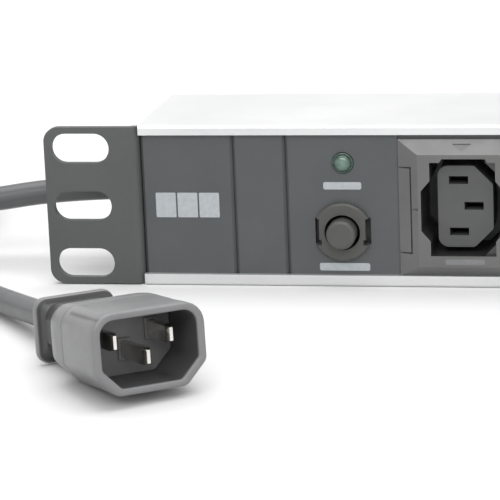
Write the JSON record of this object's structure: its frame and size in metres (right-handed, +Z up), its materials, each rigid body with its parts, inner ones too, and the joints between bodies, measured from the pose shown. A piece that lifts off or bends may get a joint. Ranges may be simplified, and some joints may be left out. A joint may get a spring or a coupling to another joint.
{
  "type": "rack power strip",
  "caption": "Rack-mount power strip: aluminium profile with slotted ears, a row of mains outlets, a push-to-reset breaker, a pilot lamp and a lead ending in an appliance-coupler plug.",
  "frame": {"origin": "bottom centre of the strip, midway between the reset button face and the back of the profile", "axes": "+X along the strip to the right seen from the front, +Y to the back, +Z up"},
  "size_m": [0.6217, 0.2206, 0.044],
  "materials": {
    "aluminium": "satin clear-anodised extrusion",
    "black_steel": "fine-textured powder coat",
    "zinc_steel": "zinc plated",
    "panel_plastic": "fine moulded texture",
    "outlet_plastic": "fine moulded texture",
    "core_plastic": "smooth moulded",
    "button_plastic": "smooth moulded",
    "green_lens": "tinted translucent",
    "board": "solder resist",
    "resistor": "lacquered",
    "brass": "stamped sheet",
    "brown_wire": "extruded insulation",
    "blue_wire": "extruded insulation",
    "earth_wire": "extruded insulation",
    "cord_rubber": "satin extruded jacket",
    "plug_rubber": "satin moulded",
    "plug_insert": "smooth moulded",
    "nickel": "nickel plated",
    "tie": "moulded strap"
  },
  "bodies": {
    "strip": {"bracket_left": "black_steel", "bracket_right": "black_steel", "bracket_screws_left": "zinc_steel", "bracket_screws_right": "zinc_steel", "breaker_arm_terminal": "brass", "breaker_back_cover": "core_plastic", "breaker_collar": "button_plastic", "breaker_fixed_contact": "brass", "breaker_housing": "core_plastic", "breaker_pivot_pin": "zinc_steel", "busbar_tray": "core_plastic", "button_spring": "zinc_steel", "control_panel": "panel_plastic", "cord": "cord_rubber", "cord_coil": "cord_rubber", "cord_gland": "cord_rubber", "cord_tie": "tie", "earth_bond_screw": "zinc_steel", "earth_busbar": "brass", "earth_ring_terminal": "zinc_steel", "earth_wire": "earth_wire", "end_panel_left": "panel_plastic", "end_panel_right": "panel_plastic", "gland_nut": "core_plastic", "led_board": "board", "led_leads": "zinc_steel", "led_lens": "green_lens", "led_resistor": "resistor", "line_busbar": "brass", "line_wire": "brown_wire", "neutral_busbar": "brass", "neutral_wire": "blue_wire", "outlet_core_01": "core_plastic", "outlet_core_02": "core_plastic", "outlet_core_03": "core_plastic", "outlet_core_04": "core_plastic", "outlet_core_05": "core_plastic", "outlet_core_06": "core_plastic", "outlet_core_07": "core_plastic", "outlet_core_08": "core_plastic", "outlet_core_09": "core_plastic", "outlet_core_10": "core_plastic", "outlet_frame_01": "outlet_plastic", "outlet_frame_02": "outlet_plastic", "outlet_frame_03": "outlet_plastic", "outlet_frame_04": "outlet_plastic", "outlet_frame_05": "outlet_plastic", "outlet_frame_06": "outlet_plastic", "outlet_frame_07": "outlet_plastic", "outlet_frame_08": "outlet_plastic", "outlet_frame_09": "outlet_plastic", "outlet_frame_10": "outlet_plastic", "plug_body": "plug_rubber", "plug_insert": "plug_insert", "plug_pins": "nickel", "plug_strain_relief": "plug_rubber", "profile": "aluminium", "spacer_panel": "panel_plastic"},
    "button": {"reset_button": "button_plastic"},
    "arm": {"contact_arm": "brass"}
  },
  "joints": [
    {"name": "reset_button_slide", "type": "slide", "parent": "strip", "child": "button", "axis": [0, -1, 0], "range_m": [0, 0.003], "stiffness_N_per_m": 150, "deforming": ["button_spring"]},
    {"name": "contact_arm_hinge", "type": "hinge", "parent": "strip", "child": "arm", "pos_m": [-0.1605, 0.0055, 0.0112], "axis": [-1, 0, 0], "range_deg": [0, 12]}
  ],
  "couplings": [
    {"joint": "contact_arm_hinge", "follows": "reset_button_slide", "rad_per_m": 69}
  ]
}
